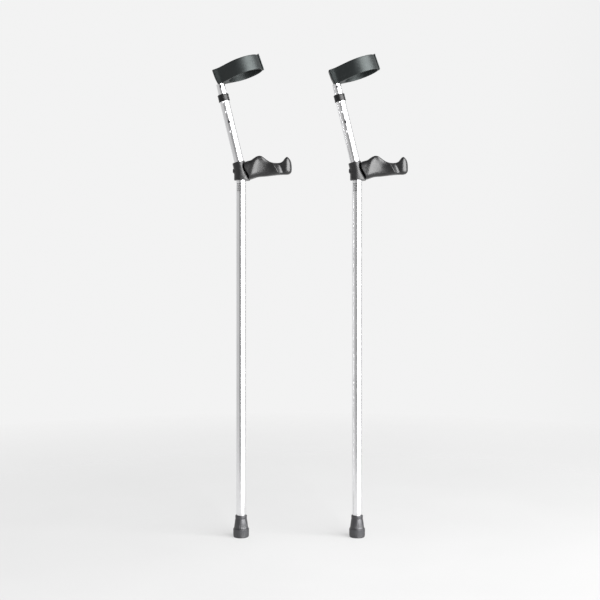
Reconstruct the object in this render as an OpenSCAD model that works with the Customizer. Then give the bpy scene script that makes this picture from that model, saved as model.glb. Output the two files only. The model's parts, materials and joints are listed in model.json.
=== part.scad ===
// Pair of forearm crutches with closed cuffs and anatomical handgrips.
// Each crutch stands upright on its ferrule: +Z is up, the grips point along +X, and the
// left crutch's leg axis is the Z axis, with the sole of its ferrule at the origin.

/* [Pair] */
// Distance between the two leg axes
pair_spacing = 287; // [200:1:400]

/* [Tubes] */
// Outside diameter of the bent main tube
main_od = 25; // [24.5:0.1:26]
// Outside diameter of the two tubes that slide in it
inner_od = 22; // [21.5:0.1:22.4]
// Wall thickness of the sliding tubes
inner_wall = 1.5; // [1.2:0.1:1.8]
// Height of the bend above the floor
bend_height = 907; // [880:1:930]
// Angle by which the forearm part leans back
forearm_lean = 13.6; // [10:0.1:16]
// Height of the main tube's lower end above the floor
main_foot = 58; // [57:1:62]
// Length of the main tube above the bend, along the forearm axis
forearm_length = 190; // [188:1:194]

/* [Height holes] */
// Distance from one height hole to the next
hole_pitch = 25; // [24:0.5:26]
// Radius of the height holes
hole_r = 3.4; // [3.2:0.1:3.6]
// Number of height holes for the cuff
cuff_holes = 4; // [3:1:4]
// Distance from the bend to the lowest cuff hole
cuff_hole_start = 97; // [92:1:100]
// Number of height holes for the leg
leg_holes = 10; // [6:1:10]
// Height of the lowest leg hole above the floor
leg_hole_start = 95; // [90:1:110]

/* [Buttons] */
// Radius of a snap button
button_r = 3.1; // [2.8:0.1:3.1]
// How far a button stands out of the main tube
button_proud = 1.2; // [0.8:0.1:1.6]

/* [Ferrule] */
// Radius of the ferrule's foot
ferrule_foot_r = 19.6; // [18:0.1:21]
// Height of the ferrule's foot band
ferrule_foot_h = 22.3; // [18:0.1:25]
// Radius of the ferrule's neck at the top
ferrule_neck_r = 14.4; // [13.5:0.1:15.5]
// Total height of the ferrule
ferrule_h = 54; // [50:0.5:56]

/* [Grip] */
// Outside radius of the sleeve round the bend
sleeve_r = 17.8; // [17.4:0.1:18.2]
// Height of the sleeve's lower end above the floor
sleeve_foot = 884; // [880:1:890]
// Length of the sleeve above the bend, along the forearm axis
sleeve_top = 20; // [18:0.5:22]
// Height of the grip bolt above the floor
bolt_height = 905; // [903:0.5:907]

/* [Cuff] */
// Angle by which the cuff leans back
cuff_lean = 19; // [17:0.5:21]
// Radius of the arm opening
cuff_inner_r = 42.5; // [40:0.5:44]
// Thickness of the band
cuff_wall = 3.5; // [3:0.1:4]
// Height of the band
cuff_height = 37.5; // [35:0.5:40]
// Width of the slit at the front of the band
cuff_slit = 3; // [2:0.5:3.5]

/* [Hidden] */
SIDES = ["left", "right"];
PIECES = ["outer_tube", "leg_tube", "leg_button", "leg_button_clip", "ferrule", "ferrule_washer",
          "grip_core", "grip_cover", "grip_bolt", "grip_nut", "collar",
          "cuff_tube", "cuff_button", "cuff_button_clip", "cuff", "cuff_rivet"];
$fn = 64;

// tubes
main_r = main_od / 2;
inner_r = inner_od / 2;
inner_bore_r = inner_r - inner_wall;
slide_gap = 0.07;
main_bore_r = inner_r + slide_gap;
seam_turn = 40;

// collar on the top end of the main tube
collar_r = 13.9;
collar_foot = 174.5;
collar_top = 192.3;
collar_bead = 0.6;
collar_bevel = 1.2;

// ferrule
ferrule_edge = 2.5;
ferrule_lean_in = 0.3;
ferrule_shoulder = 0.6;
ferrule_shoulder_h = 1;
taper_foot_r = 17.3;
ferrule_band_h = 7;
socket_gap = 0.03;
sole_grooves = [7, 11, 15];
sole_groove_w = 1.6;
sole_groove_depth = 1.2;

// the leg tube rests at its shortest setting, on the highest leg hole
washer_t = 1.5;
washer_gap = 0.1;
ferrule_floor = 8;
leg_foot = ferrule_floor + washer_t;
leg_button_z = leg_hole_start + (leg_holes - 1) * hole_pitch;
leg_top = leg_button_z + 25;

// the cuff rests on the second hole from the bottom
cuff_button_s = cuff_hole_start + hole_pitch;
cuff_tube_foot = cuff_button_s - 34;
cuff_tube_top = 218.7;
rivet_s = 211;
rivet_r = 3;
spigot_foot = 200;
spigot_gap = 0.05;
spigot_top = cuff_tube_top + 0.5;

// buttons: the flange is held under the inside of the sliding tube, and the pip rests on the clip
flange_r = 4.2;
flange_back = 7.5;
flange_front = 8.4;
pip_r = 1;
pip_back = 7.1;
button_tip = main_r + button_proud;
button_dome = 1;
button_gap = 0.05;

// clips: across counts towards the button, along counts up the tube from the button's axis
clip_t = 0.6;
clip_w = 7;
clip_drop = 34;
clip_rise = 6;
clip_front = 7.6;
clip_back = -8.6;
clip_bend_r = 3.4;
clip_overlap = 0.4;

// grip
bolt_r = 2.5;
bolt_gap = 0.1;
bolt_head_r = 5.7;
bolt_head_taper = 1.4;
bolt_head_h = 2.4;
bolt_socket_r = 1.8;
bolt_socket_depth = 1.4;
bolt_seat = -18;
bolt_seat_gap = 0.03;
bolt_boss_r = 6.3;
bolt_boss_h = 6;
bolt_end = 31;
nut_r = 4.6;
nut_start = 26;
nut_t = 4;
nut_gap = 0.05;
core_root_r = 12;
core_root_end = 34;
core_beam_r = 8;
core_beam_z = 908;
core_beam_end = 112;
core_beam_root = 4;
cover_gap = 0.03;
sleeve_gap = 0.12;
groove = 1.6;

// cuff, in its own leaning frame: u forward, w up, both counted from the bend
cuff_u = 86;
cuff_w = 217.3;
neck_back_u = 12.5;
neck_foot_u = 15.2;
neck_front_u = 28;
neck_back_half = 11;
neck_half = 13.5;
neck_front_half = 14.5;
neck_bevel = 2.5;
neck_chin_u = 26;
neck_foot_w = 218.3;
neck_bend_w = 236;
lip_t = 2.6;
lip_set = 1.4;
lip_root = 1;
lip_rise = 2.2;
lip_drop = 0.3;
lip_length = 6;
lip_flare = 50;

// the frame of the forearm tube: Z along its axis, counted from the bend
module forearm() {
    translate([0, 0, bend_height]) rotate([0, -forearm_lean, 0]) children();
}

// the frame of the cuff
module cuff_frame() {
    translate([0, 0, bend_height]) rotate([0, -cuff_lean, 0]) children();
}

// everything on one side of the bend's mitre plane: above it for way = 1, below it for way = -1
module beyond_mitre(way) {
    size = 3000;
    translate([0, 0, bend_height]) rotate([0, -forearm_lean / 2, 0])
        translate([-size / 2, -size / 2, way > 0 ? 0 : -size]) cube(size);
}

// a solid rod along the bent axis, from a height on the leg to a length up the forearm
module bent_rod(r, foot, top) {
    reach = 60;
    difference() {
        translate([0, 0, foot]) rotate(seam_turn) cylinder(r = r, h = bend_height + reach - foot);
        beyond_mitre(1);
    }
    difference() {
        forearm() translate([0, 0, -reach]) rotate(seam_turn) cylinder(r = r, h = top + reach);
        beyond_mitre(-1);
    }
}

// a radial hole through one wall, towards -Y or +Y
module wall_hole(r, towards) {
    rotate([-90 * towards, 0, 0]) cylinder(r = r, h = main_r + 2);
}

// the frame of the grip bolt: Z along +X from a given place on the bolt's axis
module along_bolt(start) {
    translate([start, 0, bolt_height]) rotate([0, 90, 0]) children();
}

module outer_tube() {
    color("silver") difference() {
        bent_rod(main_r, main_foot, forearm_length);
        bent_rod(main_bore_r, main_foot - 1, forearm_length + 1);
        for (i = [0 : leg_holes - 1])
            translate([0, 0, leg_hole_start + i * hole_pitch]) wall_hole(hole_r, 1);
        for (i = [0 : cuff_holes - 1])
            forearm() translate([0, 0, cuff_hole_start + i * hole_pitch]) wall_hole(hole_r, -1);
        along_bolt(-main_od) cylinder(r = bolt_r + bolt_gap, h = 2 * main_od);
    }
}

module leg_tube() {
    color("gainsboro") difference() {
        translate([0, 0, leg_foot]) cylinder(r = inner_r, h = leg_top - leg_foot);
        translate([0, 0, leg_foot - 1]) cylinder(r = inner_bore_r, h = leg_top - leg_foot + 2);
        translate([0, 0, leg_button_z]) wall_hole(button_r + button_gap, 1);
    }
}

// a snap button: stem with a domed tip, and the flange that keeps it in its tube
module snap_button() {
    shoulder = button_tip - button_dome;
    rotate_extrude() {
        translate([0, pip_back]) square([pip_r, flange_front - pip_back]);
        translate([0, flange_back]) square([flange_r, flange_front - flange_back]);
        translate([0, flange_back]) square([button_r, shoulder - flange_back]);
        translate([0, flange_back]) square([button_r - button_dome, button_tip - flange_back]);
        translate([button_r - button_dome, shoulder]) intersection() {
            circle(button_dome);
            square(button_dome);
        }
    }
}

// a straight leaf of the clip in its side view, from p to q, which are points on its outer face
module leaf(p, q, t) {
    along = (q - p) / norm(q - p);
    inward = t * [-along[1], along[0]];
    polygon([p, q, q + inward, p + inward]);
}

// a V-shaped leaf spring: one leaf behind the button, the other against the far wall
module button_clip() {
    rotate([90, 0, 90]) translate([0, 0, -clip_w / 2]) linear_extrude(clip_w) {
        leaf([clip_bend_r, -clip_drop], [clip_front, clip_rise], clip_t);
        leaf([clip_back, clip_rise], [-clip_bend_r, -clip_drop], clip_t);
        translate([0, -clip_drop]) difference() {
            circle(clip_bend_r);
            circle(clip_bend_r - clip_t);
            translate([-2 * clip_bend_r, clip_overlap]) square(4 * clip_bend_r);
        }
    }
}

module leg_button() {
    color("dimgray") translate([0, 0, leg_button_z]) rotate([-90, 0, 0]) snap_button();
}

module leg_button_clip() {
    color("lightsteelblue") translate([0, 0, leg_button_z]) button_clip();
}

module ferrule() {
    edge = ferrule_edge;
    color("dimgray") difference() {
        rotate_extrude() {
            polygon([
                [0, 0],
                [ferrule_foot_r - edge, 0],
                [ferrule_foot_r - edge, edge],
                [ferrule_foot_r - ferrule_lean_in, edge],
                [ferrule_foot_r, ferrule_foot_h - ferrule_shoulder_h],
                [ferrule_foot_r - ferrule_shoulder, ferrule_foot_h],
                [taper_foot_r, ferrule_foot_h],
                [ferrule_neck_r, ferrule_h - ferrule_band_h],
                [ferrule_neck_r, ferrule_h],
                [0, ferrule_h]
            ]);
            translate([ferrule_foot_r - edge, edge]) intersection() {
                circle(edge - ferrule_lean_in);
                translate([0, -edge]) square(edge);
            }
        }
        translate([0, 0, ferrule_floor]) cylinder(r = inner_r + socket_gap, h = ferrule_h);
        for (r = sole_grooves)
            rotate_extrude() translate([r, -1]) square([sole_groove_w, sole_groove_depth + 1]);
    }
}

module ferrule_washer() {
    color("silver") translate([0, 0, ferrule_floor]) cylinder(r = inner_r - washer_gap, h = washer_t);
}

// the sleeve's outside: one cylinder that leans a little with the bend
module sleeve_body() {
    drop = bend_height - sleeve_foot;
    translate([0, 0, bend_height]) rotate([0, -forearm_lean / 4, 0]) rotate(seam_turn)
        translate([0, 0, -drop]) cylinder(r = sleeve_r, h = drop + sleeve_top);
}

// the beam inside the handle, grown by a gap at its side and its end
module core_beam(gap) {
    length = core_beam_end - core_root_end + core_beam_root;
    translate([core_root_end - core_beam_root, 0, core_beam_z]) rotate([0, 90, 0])
        cylinder(r = core_beam_r + gap, h = length + gap);
}

module grip_core() {
    color([0.13, 0.13, 0.14]) difference() {
        union() {
            sleeve_body();
            along_bolt(bolt_seat) cylinder(r = bolt_boss_r, h = bolt_boss_h);
            along_bolt(0) cylinder(r = core_root_r, h = core_root_end);
            core_beam(0);
        }
        bent_rod(main_r + sleeve_gap, sleeve_foot - 1, sleeve_top + main_r);
        along_bolt(bolt_seat - 1) cylinder(r = bolt_r + bolt_gap, h = bolt_end - bolt_seat + 2);
        along_bolt(nut_start - nut_gap) cylinder(r = nut_r + nut_gap, h = nut_t + 2 * nut_gap, $fn = 6);
    }
}

// Stations along the handle: x, top and bottom heights, half width towards -Y, half width towards +Y
GRIP = [
    [0, 922, 884.5, 15, 15], [12, 926, 884.2, 18.5, 17.5], [24, 931, 885, 21.5, 18.5],
    [34, 937.5, 887.5, 24, 19.5], [46, 941.5, 890.6, 25.5, 20], [58, 935.5, 892.2, 24.5, 19],
    [70, 928, 893.4, 21, 17.5], [84, 925.4, 894.6, 17.5, 16.5], [98, 925.6, 895.2, 16.2, 15.6],
    [106, 932, 895.5, 16, 15.2], [113, 938.6, 895.6, 15.5, 14.8], [119, 937, 896.4, 14.2, 13.6],
    [123.5, 931.5, 899, 11.5, 11], [125, 924, 905, 6.5, 6.2]
];
GRIP_SIDES = 20;
GRIP_STEP = 2;

// smooth value between b and c with neighbours a and d
function smooth(a, b, c, d, t) =
    0.5 * (2 * b + (c - a) * t + (2 * a - 5 * b + 4 * c - d) * t * t + (3 * b - a - 3 * c + d) * t * t * t);

function at(list, i) = list[max(0, min(len(list) - 1, i))];

// the stations with GRIP_STEP - 1 more between each two
function grip_stations() = [
    for (i = [0 : len(GRIP) - 2])
        for (k = [0 : GRIP_STEP - 1])
            smooth(at(GRIP, i - 1), GRIP[i], GRIP[i + 1], at(GRIP, i + 2), k / GRIP_STEP),
    GRIP[len(GRIP) - 1]
];

// one ring of the handle: a rounded section that is widest a little below its middle
function grip_ring(s) = [
    for (k = [0 : GRIP_SIDES - 1])
        let (
            a = 360 * k / GRIP_SIDES,
            across = sign(cos(a)) * pow(abs(cos(a)), 0.9),
            up = sign(sin(a)) * pow(abs(sin(a)), 0.86),
            mid = s[2] + 0.46 * (s[1] - s[2])
        )
        [s[0], across * (across > 0 ? s[4] : s[3]), mid + up * (up > 0 ? s[1] - mid : mid - s[2])]
];

module grip_shape() {
    stations = grip_stations();
    n = GRIP_SIDES;
    last = len(stations) - 1;
    points = [for (s = stations) each grip_ring(s)];
    sides = [
        for (i = [0 : last - 1])
            for (k = [0 : n - 1])
                let (a = i * n + k, b = i * n + (k + 1) % n)
                each [[a, a + n, b + n], [a, b + n, b]]
    ];
    polyhedron(
        points = points,
        faces = concat(sides, [[for (k = [0 : n - 1]) k]], [[for (k = [n - 1 : -1 : 0]) last * n + k]]),
        convexity = 4
    );
}

// the part of the handle in front of the slanted groove
module ahead_of_groove() {
    groove_top = [4, 928];
    groove_foot = [21.3, 886.8];
    reach = 200;
    slope = (groove_top[0] - groove_foot[0]) / (groove_top[1] - groove_foot[1]);
    rotate([90, 0, 0]) linear_extrude(reach, center = true) polygon([
        groove_top + [slope * 40, 40], groove_foot - [slope * 40, 40],
        [reach, groove_foot[1] - 40], [reach, groove_top[1] + 40]
    ]);
}

module grip_cover() {
    color([0.2, 0.2, 0.21]) difference() {
        intersection() {
            grip_shape();
            ahead_of_groove();
        }
        translate([0, 0, sleeve_foot - 20]) cylinder(r = sleeve_r + groove, h = 100);
        along_bolt(0) cylinder(r = core_root_r + cover_gap, h = core_root_end + cover_gap);
        core_beam(cover_gap);
    }
}

module grip_bolt() {
    rim_r = bolt_head_r - bolt_head_taper;
    color("gray") along_bolt(bolt_seat - bolt_seat_gap) {
        cylinder(r = bolt_r, h = bolt_end - bolt_seat);
        translate([0, 0, -bolt_head_h]) difference() {
            cylinder(r1 = rim_r, r2 = bolt_head_r, h = bolt_head_h);
            translate([0, 0, -1]) cylinder(r = bolt_socket_r, h = bolt_socket_depth + 1, $fn = 6);
        }
    }
}

module grip_nut() {
    color("gray") along_bolt(nut_start) difference() {
        cylinder(r = nut_r, h = nut_t, $fn = 6);
        translate([0, 0, -1]) cylinder(r = bolt_r + nut_gap, h = nut_t + 2);
    }
}

module collar() {
    height = collar_top - collar_foot;
    color([0.08, 0.08, 0.09]) forearm() difference() {
        translate([0, 0, collar_foot]) rotate_extrude() polygon([
            [0, 0],
            [collar_r - collar_bead, 0],
            [collar_r, collar_bead],
            [collar_r, height - collar_bevel],
            [collar_r - collar_bevel, height],
            [0, height]
        ]);
        translate([0, 0, collar_foot - 1])
            cylinder(r = main_r + cover_gap, h = forearm_length - collar_foot + 1);
        translate([0, 0, collar_foot - 1]) cylinder(r = main_bore_r, h = height + 2);
    }
}

// a rod across the cuff tube, through both walls
module rivet_rod(r) {
    translate([0, 0, rivet_s]) rotate([90, 0, 0]) cylinder(r = r, h = 2 * inner_od, center = true);
}

module cuff_tube() {
    color("gainsboro") forearm() difference() {
        translate([0, 0, cuff_tube_foot]) cylinder(r = inner_r, h = cuff_tube_top - cuff_tube_foot);
        translate([0, 0, cuff_tube_foot - 1])
            cylinder(r = inner_bore_r, h = cuff_tube_top - cuff_tube_foot + 2);
        translate([0, 0, cuff_button_s]) wall_hole(button_r + button_gap, -1);
        rivet_rod(rivet_r + bolt_gap);
    }
}

module cuff_button() {
    color("dimgray") forearm() translate([0, 0, cuff_button_s]) rotate([90, 0, 0]) snap_button();
}

module cuff_button_clip() {
    color("lightsteelblue") forearm() translate([0, 0, cuff_button_s]) rotate([0, 0, 180]) button_clip();
}

// a headless rivet, ground flush with the tube so that it can pass into the collar
module cuff_rivet() {
    color("gray") forearm() intersection() {
        rivet_rod(rivet_r);
        translate([0, 0, rivet_s - inner_r]) cylinder(r = inner_r, h = inner_od);
    }
}

// plan of the neck that joins the ring to its tube: its sides run on to touch the ring
module neck_plan() {
    ring_r = cuff_inner_r + cuff_wall;
    ahead = cuff_u - neck_front_u;
    away = norm([ahead, neck_front_half]);
    slope = asin(ring_r / away) - atan(neck_front_half / ahead);
    run = sqrt(away * away - ring_r * ring_r);
    touch = [neck_front_u + run * cos(slope), neck_front_half + run * sin(slope)];
    half = [
        [neck_back_u, neck_back_half],
        [neck_back_u + neck_bevel, neck_half],
        [neck_front_u, neck_front_half],
        touch
    ];
    polygon(concat(half, [for (i = [3 : -1 : 0]) [half[i][0], -half[i][1]]]));
}

// side view of the band: level on top, with a chin square to the tube and a back that slants in below
module band_profile() {
    far = 160;
    top = cuff_w + cuff_height;
    rotate([90, 0, 0]) linear_extrude(far, center = true) polygon([
        [0, neck_bend_w],
        [neck_back_u, neck_bend_w],
        [neck_foot_u, neck_foot_w],
        [neck_chin_u, cuff_w],
        [far, cuff_w],
        [far, top],
        [0, top]
    ]);
}

// one of the two lips that flare forward from the slit
module lip() {
    r = lip_t / 2;
    root = cuff_u + cuff_inner_r + cuff_wall / 2;
    translate([root, cuff_slit / 2 + lip_set, cuff_w - lip_drop]) rotate([0, 0, lip_flare])
        linear_extrude(lip_drop + cuff_height + lip_rise) {
            translate([-lip_root, -r]) square([lip_length - r + lip_root, lip_t]);
            translate([lip_length - r, 0]) circle(r);
        }
}

module cuff() {
    spigot_r = inner_bore_r - spigot_gap;
    color([0.15, 0.15, 0.16]) difference() {
        union() {
            cuff_frame() difference() {
                union() {
                    translate([cuff_u, 0, cuff_w]) cylinder(r = cuff_inner_r + cuff_wall, h = cuff_height);
                    intersection() {
                        linear_extrude(2 * cuff_w) neck_plan();
                        band_profile();
                    }
                }
                translate([cuff_u, 0, 0]) cylinder(r = cuff_inner_r, h = 2 * cuff_w);
                translate([cuff_u, -cuff_slit / 2, 0]) cube([2 * cuff_inner_r, cuff_slit, 2 * cuff_w]);
            }
            cuff_frame() lip();
            cuff_frame() mirror([0, 1, 0]) lip();
            forearm() translate([0, 0, spigot_foot]) cylinder(r = spigot_r, h = spigot_top - spigot_foot);
        }
        forearm() rivet_rod(rivet_r + bolt_gap);
        forearm() translate([0, 0, spigot_foot]) difference() {
            cylinder(r = inner_od, h = cuff_tube_top - spigot_foot);
            translate([0, 0, -1]) cylinder(r = spigot_r, h = cuff_tube_top);
        }
    }
}

for (side = [0, 1]) translate([side * pair_spacing, 0, 0]) {
    outer_tube();
    leg_tube();
    leg_button();
    leg_button_clip();
    ferrule();
    ferrule_washer();
    grip_core();
    grip_cover();
    grip_bolt();
    grip_nut();
    collar();
    cuff_tube();
    cuff_button();
    cuff_button_clip();
    cuff();
    cuff_rivet();
}
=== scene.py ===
"""Looks of a pair of forearm crutches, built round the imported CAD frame. Lengths are metres."""
import json
import math

import bmesh
import bpy
from mathutils import Matrix, Vector


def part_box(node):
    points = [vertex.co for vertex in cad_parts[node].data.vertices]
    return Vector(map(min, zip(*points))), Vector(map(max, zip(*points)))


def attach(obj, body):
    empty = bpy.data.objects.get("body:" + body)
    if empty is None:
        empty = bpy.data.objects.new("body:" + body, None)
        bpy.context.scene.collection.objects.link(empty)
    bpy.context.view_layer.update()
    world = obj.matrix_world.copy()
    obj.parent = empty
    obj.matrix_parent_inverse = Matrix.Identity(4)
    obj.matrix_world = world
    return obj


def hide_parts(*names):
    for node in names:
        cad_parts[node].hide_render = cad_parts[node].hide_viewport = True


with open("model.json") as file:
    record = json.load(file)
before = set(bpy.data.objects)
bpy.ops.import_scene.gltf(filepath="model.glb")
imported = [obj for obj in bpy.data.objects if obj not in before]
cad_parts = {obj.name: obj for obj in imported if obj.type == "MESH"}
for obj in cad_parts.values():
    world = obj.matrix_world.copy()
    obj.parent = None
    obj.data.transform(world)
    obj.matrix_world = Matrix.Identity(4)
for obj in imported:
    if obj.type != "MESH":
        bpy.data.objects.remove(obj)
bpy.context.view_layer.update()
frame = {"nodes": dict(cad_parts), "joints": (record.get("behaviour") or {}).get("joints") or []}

MM = 0.001
SIDES = ("left", "right")

# ---------------------------------------------------------------- places, read from the frame


def corners(node):
    """Lowest and highest corner of a CAD node, as vectors."""
    low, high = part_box(node)
    return Vector(low), Vector(high)


def middle(node):
    """Centre of a CAD node's box."""
    low, high = corners(node)
    return (low + high) / 2


def reach(node, axis, start=Vector((0, 0, 0))):
    """How far a CAD node reaches along an axis, counted from start: lowest and highest."""
    along = [(v.co - start).dot(axis) for v in frame["nodes"][node].data.vertices]
    return min(along), max(along)


def half_span(node, axis, start):
    """Half of a CAD node's size along an axis."""
    low, high = reach(node, axis, start)
    return (high - low) / 2


def half_width(node):
    """Half of a CAD node's size across the crutch, its radius where it is a round tube."""
    low, high = corners(node)
    return (high.y - low.y) / 2


JOINTS = {joint["name"]: joint for joint in frame["joints"]}
UP = Vector((0, 0, 1))
FORWARD = Vector((1, 0, 0))
ACROSS = Vector((0, 1, 0))
FOREARM = Vector(JOINTS["left_cuff_slide"]["axis"]).normalized()
LEAN = math.atan2(-FOREARM.x, FOREARM.z)
COLLAR_CENTRE = middle("left_collar")
BEND_Z = COLLAR_CENTRE.z - COLLAR_CENTRE.x / FOREARM.x * FOREARM.z
BEND = Vector((0, 0, BEND_Z))
PAIR_SHIFT = middle("right_leg_tube").x - middle("left_leg_tube").x

MAIN_R = half_width("left_outer_tube")
INNER_R = half_width("left_leg_tube")
INNER_WALL = 1.5 * MM
MAIN_BORE_R = INNER_R + 0.07 * MM
BEND_R = 85 * MM
BEND_TANGENT = BEND_R * math.tan(LEAN / 2)
HOLE_PITCH = 25 * MM
HOLE_R = 3.4 * MM
BUTTON_R = 3.1 * MM
LEG_BUTTON_Z = middle("left_leg_button").z
CUFF_BUTTON_S = (middle("left_cuff_button") - BEND).dot(FOREARM)
RIVET_S = (middle("left_cuff_rivet") - BEND).dot(FOREARM)
BOLT_Z = middle("left_grip_bolt").z

# ---------------------------------------------------------------- mesh helpers


def mesh_of(name, points, faces, sharp=38, flow=None):
    """A mesh with smooth faces, and edges sharper than the angle kept crisp."""
    mesh = bpy.data.meshes.new(name)
    mesh.from_pydata([tuple(p) for p in points], [], faces)
    if flow is not None:
        layer = mesh.attributes.new("flow", "FLOAT_VECTOR", "POINT")
        layer.data.foreach_set("vector", [c for p in flow for c in p])
    work = bmesh.new()
    work.from_mesh(mesh)
    bmesh.ops.remove_doubles(work, verts=work.verts, dist=1e-7)
    bmesh.ops.recalc_face_normals(work, faces=work.faces)
    work.to_mesh(mesh)
    work.free()
    mesh.shade_smooth()
    mesh.set_sharp_from_angle(angle=math.radians(sharp))
    return mesh


def show(mesh, piece, body, node, material):
    """Puts the mesh on both crutches, in place of a CAD node of each."""
    mesh.materials.append(material)
    for side, shift in zip(SIDES, (0, PAIR_SHIFT)):
        thing = bpy.data.objects.new(f"{side}_{piece}_look", mesh)
        thing.location.x = shift
        bpy.context.scene.collection.objects.link(thing)
        bpy.context.view_layer.update()
        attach(thing, f"{side}_{body}")
        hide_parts(f"{side}_{node}")


def bridge(first, second):
    """Quads between two closed rings of vertex numbers."""
    n = len(first)
    return [(first[i], first[(i + 1) % n], second[(i + 1) % n], second[i]) for i in range(n)]


def loft(rings, cap_start=True, cap_end=True):
    """Points and faces of a skin over closed rings of points, with flat caps."""
    n = len(rings[0])
    points = [p for ring in rings for p in ring]
    numbers = [list(range(i * n, i * n + n)) for i in range(len(rings))]
    faces = [face for a, b in zip(numbers, numbers[1:]) for face in bridge(a, b)]
    for wanted, ring in ((cap_start, 0), (cap_end, -1)):
        if wanted:
            centre = sum((Vector(p) for p in rings[ring]), Vector()) / n
            points.append(centre)
            tip = len(points) - 1
            ids = numbers[ring]
            faces += [(ids[i], ids[(i + 1) % n], tip) for i in range(n)]
    return points, faces


def filleted(corner_list, steps=5):
    """An open outline from (x, y, fillet radius) corners, with an arc at each corner that has a radius."""
    out = []
    last = len(corner_list) - 1
    for i, (x, y, radius) in enumerate(corner_list):
        here = Vector((x, y))
        if i in (0, last) or radius <= 0:
            out.append(here)
            continue
        before = Vector(corner_list[i - 1][:2]) - here
        after = Vector(corner_list[i + 1][:2]) - here
        angle = before.angle(after)
        setback = min(radius / math.tan(angle / 2), 0.49 * before.length, 0.49 * after.length)
        radius = setback * math.tan(angle / 2)
        inward = (before.normalized() + after.normalized()).normalized()
        centre = here + inward * radius / math.sin(angle / 2)
        start = here + before.normalized() * setback - centre
        end = here + after.normalized() * setback - centre
        turn = start.angle_signed(end)
        for k in range(steps + 1):
            spin = Matrix.Rotation(-turn * k / steps, 2)
            out.append(centre + spin @ start)
    return out


def lathe(outline, segments=96, shape=None):
    """Points and faces of an outline turned round Z. shape(radius, height, angle) may change the radius."""
    points, rings = [], []
    for r, z in outline:
        if r < 1e-9:
            points.append(Vector((0, 0, z)))
            rings.append([len(points) - 1] * segments)
            continue
        ids = []
        for k in range(segments):
            angle = 2 * math.pi * k / segments
            radius = shape(r, z, angle) if shape else r
            points.append(Vector((radius * math.cos(angle), radius * math.sin(angle), z)))
            ids.append(len(points) - 1)
        rings.append(ids)
    faces = []
    for a, b in zip(rings, rings[1:]):
        for face in bridge(a, b):
            unique = tuple(dict.fromkeys(face))
            if len(unique) > 2:
                faces.append(unique)
    return points, faces


def turned(points, matrix):
    """The points, carried over by a matrix."""
    return [matrix @ Vector(p) for p in points]


def axis_frame(origin, axis, sideways=ACROSS):
    """A matrix that puts local Z along an axis, with local Y across."""
    z = Vector(axis).normalized()
    x = Vector(sideways).cross(z).normalized()
    y = z.cross(x)
    return Matrix.Translation(origin) @ Matrix((x, y, z)).transposed().to_4x4()


def smoothstep(t):
    """Eases from 0 to 1 as t does, and stays there beyond."""
    t = max(0.0, min(1.0, t))
    return t * t * (3 - 2 * t)


def mix(a, b, t):
    """From a to b, by the share t."""
    return a + (b - a) * t


def curve_through(knots, x):
    """A smooth value at x, through (x, value, ...) knots in rising order."""
    i = 0
    while i < len(knots) - 2 and x > knots[i + 1][0]:
        i += 1
    a, b = knots[i], knots[i + 1]
    before = knots[i - 1] if i > 0 else a
    after = knots[i + 2] if i + 2 < len(knots) else b
    span = b[0] - a[0]
    t = max(0.0, min(1.0, (x - a[0]) / span))
    values = []
    for k in range(1, len(a)):
        lead = (b[k] - before[k]) / max(b[0] - before[0], 1e-9) * span
        trail = (after[k] - a[k]) / max(after[0] - a[0], 1e-9) * span
        values.append((2 * t**3 - 3 * t**2 + 1) * a[k] + (t**3 - 2 * t**2 + t) * lead
                      + (3 * t**2 - 2 * t**3) * b[k] + (t**3 - t**2) * trail)
    return values


# ---------------------------------------------------------------- materials


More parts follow.
